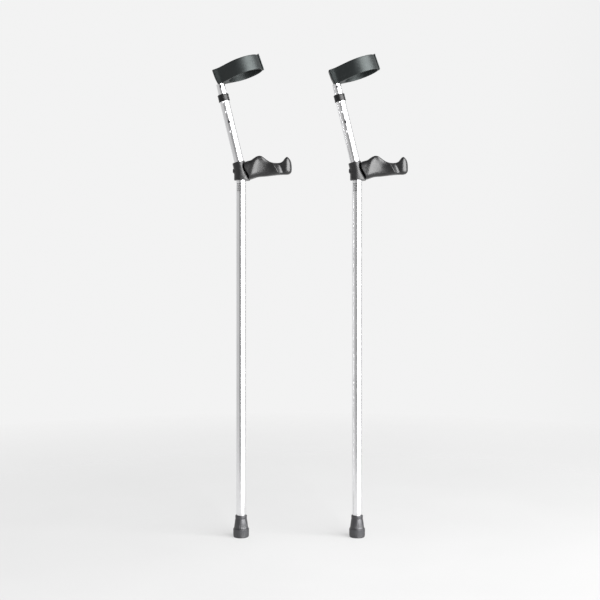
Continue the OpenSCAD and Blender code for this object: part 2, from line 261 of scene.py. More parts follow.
class Nodes:
    """A material's node tree with short names for what is built most."""

    def __init__(self, name):
        self.material = bpy.data.materials.new(name)
        self.material.use_nodes = True
        self.tree = self.material.node_tree
        self.shader = self.tree.nodes["Principled BSDF"]

    def add(self, kind, **settings):
        """A new node with its settings."""
        node = self.tree.nodes.new(kind)
        for key, value in settings.items():
            setattr(node, key, value)
        return node

    def link(self, out, into):
        self.tree.links.new(out, into)

    def place(self, scale, attribute=None):
        """Coordinates in metres times scale, from the object or from a stored attribute."""
        if attribute:
            source = self.add("ShaderNodeAttribute", attribute_name=attribute).outputs["Vector"]
        else:
            source = self.add("ShaderNodeTexCoord").outputs["Object"]
        mapping = self.add("ShaderNodeMapping")
        mapping.inputs["Scale"].default_value = scale
        self.link(source, mapping.inputs["Vector"])
        return mapping.outputs["Vector"]

    def noise(self, where, detail=4.0, roughness=0.55):
        """Noise whose size is set by the coordinates it is given."""
        node = self.add("ShaderNodeTexNoise")
        node.inputs["Scale"].default_value = 1.0
        node.inputs["Detail"].default_value = detail
        node.inputs["Roughness"].default_value = roughness
        self.link(where, node.inputs["Vector"])
        return node.outputs["Fac"]

    def ranged(self, value, low, high, from_low=0.3, from_high=0.7):
        """The value's span, by default a noise's usual one, spread over low to high."""
        node = self.add("ShaderNodeMapRange")
        node.inputs["From Min"].default_value = from_low
        node.inputs["From Max"].default_value = from_high
        node.inputs["To Min"].default_value = low
        node.inputs["To Max"].default_value = high
        self.link(value, node.inputs["Value"])
        return node.outputs["Result"]

    def maths(self, operation, a, b=0):
        node = self.add("ShaderNodeMath", operation=operation)
        for socket, value in zip(node.inputs, (a, b)):
            if isinstance(value, (int, float)):
                socket.default_value = value
            else:
                self.link(value, socket)
        return node.outputs[0]

    def blended(self, factor, a, b, way="MIX"):
        """Colour a where factor is 0, colour b where it is 1, or their product there."""
        node = self.add("ShaderNodeMix", data_type="RGBA", blend_type=way)
        for name, value in (("A", a), ("B", b)):
            if isinstance(value, tuple):
                node.inputs[name].default_value = (*value, 1)
            else:
                self.link(value, node.inputs[name])
        if isinstance(factor, float):
            node.inputs["Factor"].default_value = factor
        else:
            self.link(factor, node.inputs["Factor"])
        return node.outputs["Result"]

    def bump(self, height, strength, distance, under=None):
        """Relief from a height, over another relief if one is given."""
        node = self.add("ShaderNodeBump")
        node.inputs["Strength"].default_value = strength
        node.inputs["Distance"].default_value = distance
        self.link(height, node.inputs["Height"])
        if under is not None:
            self.link(under, node.inputs["Normal"])
        return node.outputs["Normal"]

    def finish(self, colour, roughness, normal, metallic=0.0, specular=0.5, sheen=(1, 1, 1)):
        """Joins the maps to the shader; a plain number sets its socket. sheen tints the reflection."""
        self.shader.inputs["Metallic"].default_value = metallic
        self.shader.inputs["Specular IOR Level"].default_value = specular
        self.shader.inputs["Specular Tint"].default_value = (*sheen, 1)
        for name, value in (("Base Color", colour), ("Roughness", roughness), ("Normal", normal)):
            if isinstance(value, float):
                self.shader.inputs[name].default_value = value
            elif value is not None:
                self.link(value, self.shader.inputs[name])
        return self.material


INK = (0.05, 0.05, 0.055)
DASH_ROW_PITCH = 5.2 * MM
DASH_PITCH = 4.4 * MM
DASH_LEFT, DASH_RIGHT = -9.6 * MM, 0.4 * MM


def stripes(n, value, pitch, share):
    """Mask of stripes: 1 on a share of each pitch, 0 between."""
    return n.maths("LESS_THAN", n.maths("FRACT", n.maths("MULTIPLY", value, 1 / pitch)), share)


def dashes(n, low, high):
    """Mask of rows of short printed dashes on a tube's near side, between two heights of its flow."""
    flow = n.add("ShaderNodeAttribute", attribute_name="flow").outputs["Vector"]
    split = n.add("ShaderNodeSeparateXYZ")
    n.link(flow, split.inputs["Vector"])
    x, y, z = split.outputs
    rows = stripes(n, z, DASH_ROW_PITCH, 0.54)
    columns = stripes(n, n.maths("ADD", x, z), DASH_PITCH, 0.66)
    mask = n.maths("MULTIPLY", rows, columns)
    for kind, value, edge in (
        ("GREATER_THAN", x, DASH_LEFT), ("LESS_THAN", x, DASH_RIGHT), ("LESS_THAN", y, 0),
        ("GREATER_THAN", z, low), ("LESS_THAN", z, high),
    ):
        mask = n.maths("MULTIPLY", mask, n.maths(kind, value, edge))
    return mask


def aluminium(name, tone, print_low=None, print_high=None):
    """Satin anodised extruded tube: faint draw lines along it, cloudy sheen and a few handling marks."""
    n = Nodes(name)
    lines = n.noise(n.place((2600, 2600, 9), "flow"), 3.0, 0.6)
    clouds = n.noise(n.place((38, 38, 11), "flow"), 4.0, 0.6)
    marks = n.noise(n.place((520, 520, 120), "flow"), 6.0, 0.7)
    grain = n.noise(n.place((5200, 5200, 5200), "flow"), 1.0)
    tint = n.blended(n.ranged(clouds, 0, 1), tuple(0.93 * c for c in tone), tone)
    scuffed = n.blended(n.ranged(marks, 0, 0.35, 0.66, 0.78), (1, 1, 1), (0.78, 0.78, 0.79))
    colour = n.blended(1.0, tint, scuffed, "MULTIPLY")
    rough = n.maths("ADD", n.ranged(lines, 0.19, 0.25), n.ranged(clouds, -0.01, 0.03))
    rough = n.maths("ADD", rough, n.ranged(marks, 0.0, 0.12, 0.64, 0.8))
    normal = n.bump(lines, 0.07, 0.00002, n.bump(grain, 0.05, 0.00002))
    if print_low is not None:
        colour = n.blended(dashes(n, print_low, print_high), colour, INK)
    return n.finish(colour, rough, normal, metallic=1.0)


def moulded_plastic(name, dark, light, roughness, grain_scale, grain_depth, gloss, sheen=(1, 1, 1)):
    """Injection-moulded plastic: fine spark-eroded grain, slow colour drift and faint rubbed patches."""
    n = Nodes(name)
    drift = n.noise(n.place((26, 26, 26)), 3.0)
    grain = n.noise(n.place((grain_scale,) * 3), 3.0, 0.65)
    rub = n.noise(n.place((85, 85, 85)), 7.0, 0.7)
    hairs = n.noise(n.place((900, 340, 120)), 5.0, 0.7)
    wear = (0.010, 0.010, 0.0105)
    base = n.blended(n.ranged(drift, 0, 1), dark, light)
    worn = n.blended(n.ranged(rub, 0, 0.30, 0.58, 0.78), base, wear)
    worn = n.blended(n.ranged(hairs, 0, 0.30, 0.70, 0.80), worn, wear)
    rough = n.maths("ADD", n.ranged(grain, *roughness), n.ranged(rub, -0.04, 0.06))
    normal = n.bump(grain, 0.32, grain_depth, n.bump(drift, 0.05, 0.0004))
    return n.finish(worn, rough, normal, specular=gloss, sheen=sheen)


def rubber(name):
    """Grey filled rubber: matt, mottled, with dust in its pores that thickens towards the floor."""
    n = Nodes(name)
    mottle = n.noise(n.place((120, 120, 120)), 6.0, 0.65)
    pores = n.noise(n.place((1500, 1500, 1500)), 4.0, 0.7)
    dust = n.noise(n.place((300, 300, 300)), 5.0, 0.7)
    coords = n.add("ShaderNodeTexCoord")
    split = n.add("ShaderNodeSeparateXYZ")
    n.link(coords.outputs["Object"], split.inputs["Vector"])
    low = n.ranged(split.outputs["Z"], 1.0, 0.0, 0.0, 24 * MM)
    base = n.blended(n.ranged(mottle, 0, 1), (0.004, 0.004, 0.005), (0.011, 0.011, 0.013))
    dusty = n.maths("MULTIPLY", n.ranged(dust, 0.0, 0.55, 0.42, 0.72), n.maths("ADD", low, 0.25))
    worn = n.blended(dusty, base, (0.036, 0.0355, 0.0345))
    rough = n.ranged(pores, 0.36, 0.52)
    normal = n.bump(pores, 0.45, 0.00012, n.bump(mottle, 0.12, 0.0004))
    return n.finish(worn, rough, normal, specular=1.0, sheen=(0.97, 0.97, 1.0))


def steel(name, dark, light, rough_low, rough_high):
    """Turned or stamped steel with its plating: fine scratches one way, cloudy sheen."""
    n = Nodes(name)
    clouds = n.noise(n.place((160, 160, 160)), 4.0)
    scratch = n.noise(n.place((2400, 500, 2400)), 4.0, 0.7)
    tint = n.blended(n.ranged(clouds, 0, 1), dark, light)
    rough = n.maths("ADD", n.ranged(scratch, rough_low, rough_high), n.ranged(clouds, -0.02, 0.04))
    return n.finish(tint, rough, n.bump(scratch, 0.25, 0.00002), metallic=1.0)


ANODISED = (0.92, 0.92, 0.93)
TUBE = aluminium("anodised_tube", ANODISED)
MAIN_TUBE = aluminium("anodised_main_tube", ANODISED, -55 * MM, -33 * MM)
CUFF_PLASTIC = moulded_plastic(
    "cuff_plastic", (0.0020, 0.0024, 0.0026), (0.0045, 0.0054, 0.0057), roughness=(0.42, 0.52),
    grain_scale=1900, grain_depth=0.00004, gloss=0.54, sheen=(0.90, 1.0, 0.99))
GRIP_PLASTIC = moulded_plastic(
    "grip_plastic", (0.0020, 0.0020, 0.0023), (0.0050, 0.0050, 0.0056), roughness=(0.30, 0.40),
    grain_scale=1500, grain_depth=0.00006, gloss=0.66)
COLLAR_PLASTIC = moulded_plastic(
    "collar_plastic", (0.002, 0.002, 0.002), (0.005, 0.005, 0.005), roughness=(0.32, 0.42),
    grain_scale=2200, grain_depth=0.00004, gloss=0.38)
RUBBER = rubber("ferrule_rubber")
DARK_STEEL = steel("dark_steel", (0.050, 0.050, 0.053), (0.085, 0.085, 0.09), 0.28, 0.42)
ZINC_STEEL = steel("zinc_steel", (0.48, 0.48, 0.50), (0.62, 0.62, 0.63), 0.24, 0.40)
SPRING_STEEL = steel("spring_steel", (0.26, 0.27, 0.30), (0.36, 0.37, 0.40), 0.20, 0.34)

# ---------------------------------------------------------------- tubes


WALL_COLUMNS = 72
COLUMN_STEP = 2 * math.pi / WALL_COLUMNS
LONGEST_ROW = 9 * MM
CHAMFER = 0.3 * MM
# half the side of the square patch of the wall's grid that a hole takes up, and the patch's border
PATCH = 5
PATCH_BORDER = ([(-PATCH, k) for k in range(-PATCH, PATCH)] + [(j, PATCH) for j in range(-PATCH, PATCH)]
                + [(PATCH, k) for k in range(PATCH, -PATCH, -1)]
                + [(j, -PATCH) for j in range(PATCH, -PATCH, -1)])


def leaning(turn):
    """The forward direction, tipped up by a turn."""
    return Vector((math.cos(turn), 0, math.sin(turn)))


def leg_line(s):
    """Centre point and forward direction on the leg's axis at s, counted upwards from the bend."""
    return BEND + UP * s, FORWARD


def forearm_line(s):
    """The same on the forearm part's axis."""
    return BEND + FOREARM * s, leaning(LEAN)


def bent_line(s):
    """The same on the main tube, which follows both axes and turns from one to the other in an arc."""
    if s <= -BEND_TANGENT:
        return leg_line(s)
    if s >= BEND_TANGENT:
        return forearm_line(s)
    turn = LEAN * (s + BEND_TANGENT) / (2 * BEND_TANGENT)
    centre = BEND + Vector((-BEND_R, 0, -BEND_TANGENT))
    return centre + BEND_R * leaning(turn), leaning(turn)


def wall_rows(start, end, pitch, holes):
    """Where a tube wall's rows lie: a pitch apart beside a hole, further apart elsewhere."""
    wanted = {start + CHAMFER, end - CHAMFER}
    for s, _, _ in holes:
        wanted |= {s + j * pitch for j in range(-PATCH, PATCH + 1)}
    wanted = sorted(wanted)
    rows = [wanted[0]]
    for s in wanted[1:]:
        base = rows[-1]
        gap = s - base
        parts = max(1, math.ceil(gap / LONGEST_ROW)) if gap > 1.5 * pitch else 1
        rows += [base + gap * k / parts for k in range(1, parts + 1)]
    return rows


class TubeWall:
    """A tube wall along a line, with round holes of crisp edges.

    holes are (s, angle in degrees from forward, radius). Each hole sits in a square patch of the wall's grid,
    whose border runs over to a circle in a few rings, so the wall keeps an even flow of quads.
    """

    def __init__(self, line, start, end, outer, inner, holes):
        self.line, self.radii = line, (outer, inner)
        self.pitch = outer * COLUMN_STEP
        self.rows = wall_rows(start, end, self.pitch, holes)
        self.points, self.flow, self.faces, self.drilled = [], [], [], set()
        self.grids = [[self.ring(s, radius) for s in self.rows] for radius in self.radii]
        for hole in holes:
            self.drill(*hole)
        self.skin()
        self.close(start, 0)
        self.close(end, -1)

    def put(self, s, angle, radius):
        """Adds a point and its place in the straightened tube; gives its number."""
        centre, forward = self.line(s)
        self.points.append(centre + radius * (forward * math.cos(angle) + ACROSS * math.sin(angle)))
        self.flow.append((radius * math.cos(angle), radius * math.sin(angle), s))
        return len(self.points) - 1

    def ring(self, s, radius):
        """A full ring of points at s."""
        return [self.put(s, k * COLUMN_STEP, radius) for k in range(WALL_COLUMNS)]

    def patch_ring(self, s, degrees, circle_r, radius, t):
        """The patch's border, carried a share t of the way to a circle."""
        ring = []
        for j, k in PATCH_BORDER:
            way = math.atan2(j, k)
            swing = math.asin(circle_r * math.cos(way) / radius)
            angle = math.radians(degrees) + mix(k * COLUMN_STEP, swing, t)
            ring.append(self.put(s + mix(j * self.pitch, circle_r * math.sin(way), t), angle, radius))
        return ring

    def drill(self, s, degrees, hole_r):
        """Cuts a hole, with a small chamfer outside."""
        row = min(range(len(self.rows)), key=lambda i: abs(self.rows[i] - s))
        column = round(math.radians(degrees) / COLUMN_STEP) % WALL_COLUMNS
        beside = range(-PATCH, PATCH)
        self.drilled |= {(row + j, (column + k) % WALL_COLUMNS) for j in beside for k in beside}
        rims = []
        for grid, radius, ease in zip(self.grids, self.radii, (CHAMFER, 0)):
            last = [grid[row + j][(column + k) % WALL_COLUMNS] for j, k in PATCH_BORDER]
            for t in (0.4, 0.75, 1.0):
                ring = self.patch_ring(s, degrees, hole_r + ease, radius, t)
                self.faces += bridge(last, ring)
                last = ring
            rims.append(last)
        lip, lip_r = [], self.radii[0] - CHAMFER
        for j, k in PATCH_BORDER:
            way = math.atan2(j, k)
            swing = math.asin(hole_r * math.cos(way) / lip_r)
            lip.append(self.put(s + hole_r * math.sin(way), math.radians(degrees) + swing, lip_r))
        self.faces += bridge(rims[0], lip) + bridge(lip, rims[1])

    def skin(self):
        """Quads between the rows, except where a hole's patch is."""
        for grid in self.grids:
            for i, (low, high) in enumerate(zip(grid, grid[1:])):
                quads = enumerate(bridge(low, high))
                self.faces += [quad for k, quad in quads if (i, k) not in self.drilled]

    def close(self, s, row):
        """The flat face at one end, with a chamfer outside."""
        outer, inner = self.radii
        edge = self.ring(s, outer - CHAMFER)
        inside = self.ring(s, inner + 0.5 * CHAMFER)
        self.faces += bridge(self.grids[0][row], edge) + bridge(edge, inside)
        self.faces += bridge(inside, self.grids[1][row])


def show_tube(wall, piece, body, node, material):
    """Puts a tube wall on both crutches."""
    mesh = mesh_of(piece, wall.points, wall.faces, flow=wall.flow)
    show(mesh, piece, body, node, material)


def main_tube():
    """Bent tube: ten height holes at the back of the leg, four in the near side of the forearm part."""
    foot = corners("left_outer_tube")[0].z - BEND_Z
    top = reach("left_outer_tube", FOREARM, BEND)[1]
    holes = [(LEG_BUTTON_Z - BEND_Z - i * HOLE_PITCH, 90, HOLE_R) for i in range(10)]
    holes += [(CUFF_BUTTON_S + i * HOLE_PITCH, -90, HOLE_R) for i in (-1, 0, 1, 2)]
    wall = TubeWall(bent_line, foot, top, MAIN_R, MAIN_BORE_R, holes)
    show_tube(wall, "main_tube", "frame", "outer_tube", MAIN_TUBE)


def sliding_tubes():
    """The thinner tubes in both ends of the main tube, drilled for their buttons and the cuff's rivet."""
    inner = INNER_R - INNER_WALL
    button_hole_r = BUTTON_R + 0.05 * MM
    low, high = corners("left_leg_tube")
    holes = [(LEG_BUTTON_Z - BEND_Z, 90, button_hole_r)]
    wall = TubeWall(leg_line, low.z - BEND_Z, high.z - BEND_Z, INNER_R, inner, holes)
    show_tube(wall, "leg_tube", "leg", "leg_tube", TUBE)
    start, end = reach("left_cuff_tube", FOREARM, BEND)
    rivet_r = half_span("left_cuff_rivet", FOREARM, BEND)
    holes = [(CUFF_BUTTON_S, -90, button_hole_r)]
    holes += [(RIVET_S, angle, rivet_r + 0.04 * MM) for angle in (-90, 90)]
    wall = TubeWall(forearm_line, start, end, INNER_R, inner, holes)
    show_tube(wall, "cuff_tube", "cuff_assembly", "cuff_tube", TUBE)


# ---------------------------------------------------------------- small parts


def snap_buttons():
    """The domed pins, with the flange that keeps each in its tube."""
    tip = MAIN_R + 1.2 * MM
    outline = filleted([
        (0, 7.5 * MM, 0), (4.2 * MM, 7.5 * MM, 0.2 * MM), (4.2 * MM, 8.4 * MM, 0.2 * MM),
        (BUTTON_R, 8.4 * MM, 0.15 * MM), (BUTTON_R, tip - 0.1 * MM, 1.6 * MM), (0, tip, 0)])
    points, faces = lathe(outline, 48)
    for piece, body, place in (
        ("leg_button", "leg_snap_button", axis_frame(Vector((0, 0, LEG_BUTTON_Z)), ACROSS, UP)),
        ("cuff_button", "cuff_snap_button", axis_frame(BEND + FOREARM * CUFF_BUTTON_S, -ACROSS, UP)),
    ):
        mesh = mesh_of(piece, turned(points, place), faces)
        show(mesh, piece, body, piece, DARK_STEEL)


def cuff_rivet():
    """Headless rivet, flush with the tube: each end follows the tube's curve, with a small bevel."""
    r = half_span("left_cuff_rivet", FOREARM, BEND)
    bevel = 0.25 * MM

    def end_height(rho, angle):
        """How far the end face lies from the tube's axis: angle 0 runs round the tube."""
        return math.sqrt(INNER_R**2 - (rho * math.cos(angle)) ** 2) - 0.02 * MM

    rings = []
    segments = 48
    for way in (-1, 1):
        ends = []
        for rho, drop in ((0.3 * r, 0), (0.7 * r, 0), (r - bevel, 0), (r, bevel)):
            ring = []
            for k in range(segments):
                a = 2 * math.pi * k / segments
                ring.append(Vector((rho * math.cos(a), rho * math.sin(a), way * (end_height(rho, a) - drop))))
            ends.append(ring)
        rings += ends if way < 0 else ends[::-1]
    points, faces = loft(rings)
    place = axis_frame(BEND + FOREARM * RIVET_S, -ACROSS, FOREARM)
    show(mesh_of("cuff_rivet", turned(points, place), faces, 30), "cuff_rivet", "cuff_assembly", "cuff_rivet",
         DARK_STEEL)


def grip_bolt():
    """Button-head bolt with a hexagon socket, seated in the back of the sleeve."""
    start, end = reach("left_grip_bolt", FORWARD)
    length = end - start
    head_r = half_width("left_grip_bolt")
    head_h = 2.4 * MM
    shank_r = 2.5 * MM
    socket_r = 1.8 * MM
    socket_depth = head_h * 0.62

    def socket(r, z, angle):
        """Radius of the hexagon where the outline is inside the socket."""
        if r > socket_r * 1.001:
            return r
        sector = (angle + math.pi / 6) % (math.pi / 3) - math.pi / 6
        return r * math.cos(math.pi / 6) / math.cos(sector)

    outline = filleted([
        (0, socket_depth, 0), (socket_r, socket_depth, 0), (socket_r, 0.02 * MM, 0),
        (socket_r * 1.25, 0, 0.1 * MM), (head_r - 1.5 * MM, 0.05 * MM, 1.2 * MM),
        (head_r, head_h * 0.75, 0.9 * MM), (head_r, head_h, 0.1 * MM), (shank_r, head_h, 0.1 * MM),
        (shank_r, length - 0.6 * MM, 0.1 * MM), (1.9 * MM, length, 0), (0, length, 0)], 4)
    points, faces = lathe(outline, 48, socket)
    place = axis_frame(Vector((start, 0, BOLT_Z)), FORWARD)
    show(mesh_of("grip_bolt", turned(points, place), faces), "grip_bolt", "frame", "grip_bolt",
         DARK_STEEL)


def collar():
    """Black bush on the end of the main tube: a plain barrel with a bead at each end and a lip inside."""
    start, end = reach("left_collar", FOREARM, BEND)
    r = half_width("left_collar")
    bore = MAIN_R + 0.03 * MM
    tube_end = reach("left_outer_tube", FOREARM, BEND)[1]
    outline = filleted([
        (bore, start, 0), (r - 0.5 * MM, start, 0.3 * MM), (r, start + 0.6 * MM, 0.4 * MM),
        (r, start + 2.4 * MM, 0.3 * MM), (r - 0.35 * MM, start + 2.9 * MM, 0.3 * MM),
        (r - 0.35 * MM, end - 3.4 * MM, 0.3 * MM), (r, end - 2.9 * MM, 0.3 * MM),
        (r, end - 1.2 * MM, 0.9 * MM), (r - 1.3 * MM, end, 0.5 * MM), (MAIN_BORE_R + 0.4 * MM, end, 0.3 * MM),
        (MAIN_BORE_R, end - 0.5 * MM, 0.2 * MM), (MAIN_BORE_R, tube_end, 0), (bore, tube_end, 0),
        (bore, start, 0)], 4)
    points, faces = lathe(outline, 112)
    place = axis_frame(BEND, FOREARM)
    show(mesh_of("collar", turned(points, place), faces), "collar", "frame", "collar",
         COLLAR_PLASTIC)


FERRULE_H = corners("left_ferrule")[1].z - corners("left_ferrule")[0].z
BAND_H = 22.3 * MM
SOLE_GROOVE = 1.1 * MM


def ferrule_outline():
    """Half of the foot's section, from the middle of the sole up the outside and down into the socket."""
    foot_r = half_width("left_ferrule")
    neck_r = 14.4 * MM
    socket_r = INNER_R + 0.03 * MM
    grooves = [corner for r in (7, 11, 15) for corner in (
        (r * MM, 0, 0.2 * MM), (r * MM, SOLE_GROOVE, 0.2 * MM), ((r + 1.6) * MM, SOLE_GROOVE, 0.2 * MM),
        ((r + 1.6) * MM, 0, 0.2 * MM))]
    band = [
        (foot_r - 1.9 * MM, 0, 0.8 * MM), (foot_r - 0.3 * MM, 2.2 * MM, 1.4 * MM),
        (foot_r - 0.3 * MM, 3.6 * MM, 0.3 * MM), (foot_r - 0.7 * MM, 4.1 * MM, 0.3 * MM),
        (foot_r - 0.6 * MM, 4.6 * MM, 0.3 * MM), (foot_r - 0.2 * MM, 5.2 * MM, 0.4 * MM),
        (foot_r, BAND_H - 1.6 * MM, 1.2 * MM)]
    taper = [
        (17.6 * MM, BAND_H + 0.2 * MM, 0.8 * MM), (16.9 * MM, BAND_H + 4 * MM, 3 * MM),
        (15.9 * MM, BAND_H + 13 * MM, 8 * MM)]
    mouth = [
        (neck_r, FERRULE_H - 9.5 * MM, 2 * MM), (neck_r - 0.5 * MM, FERRULE_H - 8.6 * MM, 0.4 * MM),
        (neck_r - 0.5 * MM, FERRULE_H - 7.6 * MM, 0.4 * MM), (neck_r, FERRULE_H - 6.8 * MM, 0.5 * MM),
        (neck_r, FERRULE_H - 1.2 * MM, 1.0 * MM), (neck_r - 1.2 * MM, FERRULE_H, 0.8 * MM),
        (socket_r + 0.6 * MM, FERRULE_H, 0.5 * MM), (socket_r, FERRULE_H - 0.8 * MM, 0.4 * MM),
        (socket_r, 8 * MM, 0), (0, 8 * MM, 0)]
    return filleted([(0, 0, 0)] + grooves + band + taper + mouth, 4)


def fluted(r, z, angle):
    """Shallow flutes that deepen down the taper, and finer ribs on the foot band."""
    if r < 13.5 * MM or z > FERRULE_H - 10 * MM or z < 5.4 * MM:
        return r
    if z > BAND_H + 0.6 * MM:
        count = 24
        depth = 0.42 * MM * smoothstep((FERRULE_H - 12 * MM - z) / (14 * MM))
        depth *= smoothstep((z - BAND_H - 0.6 * MM) / (1.5 * MM))
    elif z < BAND_H - 1.5 * MM:
        count = 48
        depth = 0.28 * MM * smoothstep((z - 5.4 * MM) / (1.2 * MM))
        depth *= smoothstep((BAND_H - 1.5 * MM - z) / (1.2 * MM))
    else:
        return r
    return r - depth * (0.5 - 0.5 * math.cos(count * angle)) ** 1.5


def ferrule():
    """Rubber foot: bead at the mouth, fluted taper, ribbed foot band and a sole with ring grooves."""
    outline = ferrule_outline()
    dense = []
    for a, b in zip(outline, outline[1:]):
        outside = min(a[0], b[0]) > 14 * MM and a[1] > 1 * MM
        parts = max(1, math.ceil((b - a).length / (1.4 * MM))) if outside else 1
        dense += [a.lerp(b, k / parts) for k in range(parts)]
    dense.append(outline[-1])
    points, faces = lathe(dense, 288, fluted)
    show(mesh_of("ferrule", points, faces, 50), "ferrule", "leg", "ferrule", RUBBER)


# ---------------------------------------------------------------- grip


# the two edges of the groove between sleeve and handle: height, x, in millimetres
SLEEVE_EDGE = [(878, 22), (884, 20.4), (889, 18.6), (894, 15.2), (900, 11.2), (906, 7.2), (911, 4.9),
               (917, 3.6), (926, 3.0), (936, 3.0)]
HANDLE_EDGE = [(878, 20.6), (884, 20.8), (889, 20.8), (894, 18.8), (900, 15.6), (906, 12.4), (911, 10.4),
               (917, 9.4), (923, 9.8), (929, 11.0), (940, 13)]
GROOVE_DEPTH = 4.0 * MM
SLEEVE_R = 17.4 * MM
SLEEVE_DRAW = 8.8 * MM
SLEEVE_TOP = 20.5 * MM
SLEEVE_SEGMENTS = 160
SEAT_X = 18.05 * MM
SEAT_R = 8.2 * MM


def sleeve_radius(s, angle):
    """Outside radius of the sleeve: drawn forward at its foot, with a flat seat for the bolt head behind."""
    forward = max(0.0, math.cos(angle)) ** 2.2
    low = smoothstep((4 * MM - s) / (26 * MM))
    r = SLEEVE_R + forward * mix(0.5 * MM, SLEEVE_DRAW, low)
    centre, ahead = bent_line(s)
    if math.cos(angle) < 0:
        span = math.hypot(math.sin(angle) * r, centre.z - BOLT_Z)
        seat = (SEAT_X + centre.x) / max(0.35, -math.cos(angle))
        r = mix(r, max(r, seat), smoothstep((SEAT_R - span) / (1.6 * MM)))
    x = centre.x + r * math.cos(angle) * ahead.x
    z = centre.z + r * math.cos(angle) * ahead.z
    edge = curve_through(SLEEVE_EDGE, z / MM)[0] * MM
    return r - GROOVE_DEPTH * smoothstep((x - edge) / (1.1 * MM))


def sleeve_ring(s, inset, bore=None):
    """One ring of the sleeve: its outside pulled in by inset, or its bore."""
    centre, ahead = bent_line(s)
    ring = []
    for k in range(SLEEVE_SEGMENTS):
        angle = 2 * math.pi * k / SLEEVE_SEGMENTS
        r = bore if bore else sleeve_radius(s, angle) - inset
        ring.append(centre + r * (ahead * math.cos(angle) + ACROSS * math.sin(angle)))
    return ring


def grip_sleeve():
    """Hard sleeve round the bend, with rounded ends and the near wall of the groove."""
    foot = corners("left_grip_core")[0].z - BEND_Z - 1.5 * MM
    top = SLEEVE_TOP
    bore = MAIN_R + 0.05 * MM
    fillet = 1.5 * MM
    turns = [math.pi / 2 * k / 6 for k in range(7)]
    rings = [sleeve_ring(foot, 0, bore)]
    rings += [sleeve_ring(foot + fillet * (1 - math.cos(a)), fillet * (1 - math.sin(a))) for a in turns]
    rows = 54
    rings += [sleeve_ring(mix(foot + fillet, top - fillet, k / rows), 0) for k in range(1, rows)]
    rings += [sleeve_ring(top - fillet * (1 - math.sin(a)), fillet * (1 - math.cos(a))) for a in turns]
    rings += [sleeve_ring(top, 0, bore + 0.5 * MM), sleeve_ring(top - 0.6 * MM, 0, bore), rings[0]]
    points, faces = loft(rings, False, False)
    show(mesh_of("grip_sleeve", points, faces, 45), "grip_sleeve", "frame", "grip_core",
         GRIP_PLASTIC)


# x, top, bottom, half width towards +Y, all in millimetres from the leg axis and the floor
GRIP_STATIONS = [
    (0, 924.0, 881.6, 17.8), (8, 926.4, 881.7, 18.4), (15, 928.3, 882.3, 18.8), (25, 931.4, 884.0, 19.2),
    (32, 936.2, 886.4, 19.6), (38, 939.8, 888.4, 20.0), (43, 941.4, 889.6, 20.0), (48, 941.6, 890.2, 19.8),
    (53, 939.9, 890.6, 19.6), (59, 935.2, 891.0, 18.8), (67, 929.4, 891.8, 17.8), (74, 926.0, 892.7, 16.8),
    (85, 924.4, 894.0, 16.2), (96, 925.0, 895.0, 15.8), (102.5, 928.4, 895.4, 15.6),
    (107.4, 934.6, 895.5, 15.3), (110.5, 937.9, 895.5, 15.0), (113.4, 939.2, 895.6, 14.7),
    (116.2, 938.0, 895.9, 14.2), (119.4, 934.9, 897.0, 13.2), (122.3, 930.4, 899.0, 11.6),
    (124.0, 925.4, 901.4, 9.6), (125.0, 919.4, 904.0, 6.8), (125.4, 914.6, 907.2, 4.4),
]
# half width towards -Y, in millimetres: x, width, on the palm rest and on the waist and horn beyond its edge
PALM_SIDE = [(0, 24.0), (8, 24.5), (14, 24.6), (20, 24.6), (25, 24.8), (29, 24.7), (34, 23.6), (39, 22.2),
             (45, 21.2), (52, 20.4), (60, 19.9), (100, 19.9)]
WAIST_SIDE = [(40, 17.6), (60, 17.2), (72, 16.0), (82, 14.6), (90, 13.8), (95, 13.6), (100, 14.4),
              (105, 16.4), (109, 17.7), (113, 18.0), (116.2, 17.3), (119.4, 15.7), (122.3, 13.0),
              (124, 10.2), (125, 7.0), (125.4, 4.4)]
# the edge of the palm rest down the near side: height, x, in millimetres
PALM_EDGE = [(878, 100), (888, 97), (897, 92.8), (905, 88.6), (912, 84.6), (918, 80.4), (923, 76),
             (928, 69.5), (933, 61), (940, 48), (950, 30)]
# how far the palm rest flares out, over what lengths it rises and falls, and how round its ridge is
PALM_FLARE = 6.0
PALM_FLARE_REACH = 32.0
PALM_FALL_REACH = 15.0
RIDGE_ROUND = 0.5


def near_side(x, z):
    """Half width towards -Y, in millimetres: a palm rest that flares to a ridge, then falls to the waist."""
    palm = curve_through(PALM_SIDE, x - 0.22 * (z - 905))[0]
    waist = curve_through(WAIST_SIDE, x)[0]
    past = x - curve_through(PALM_EDGE, z)[0]
    rising = palm + PALM_FLARE * min(1.4, max(0.0, 1 + past / PALM_FLARE_REACH)) ** 2.6
    crest = palm + PALM_FLARE
    falling = waist + (crest - waist) * max(0.0, 1 - past / PALM_FALL_REACH) ** 1.6
    lower, higher = sorted((rising, falling))
    return lower - RIDGE_ROUND * math.log(1 + math.exp((lower - higher) / RIDGE_ROUND))


def grip_point(x, angle):
    """A point of the handle's skin, in millimetres."""
    top, bottom, far = curve_through(GRIP_STATIONS, x)
    mid = mix(bottom, top, 0.46)
    c, s = math.cos(angle), math.sin(angle)
    across = abs(c) ** 0.88 if c >= 0 else -abs(c) ** 0.46
    up = math.copysign(abs(s) ** (0.84 if c >= 0 else 0.68), s)
    z = mid + up * ((top - mid) if up > 0 else (mid - bottom))
    return Vector((x, across * (far if across >= 0 else near_side(x, z)), z))


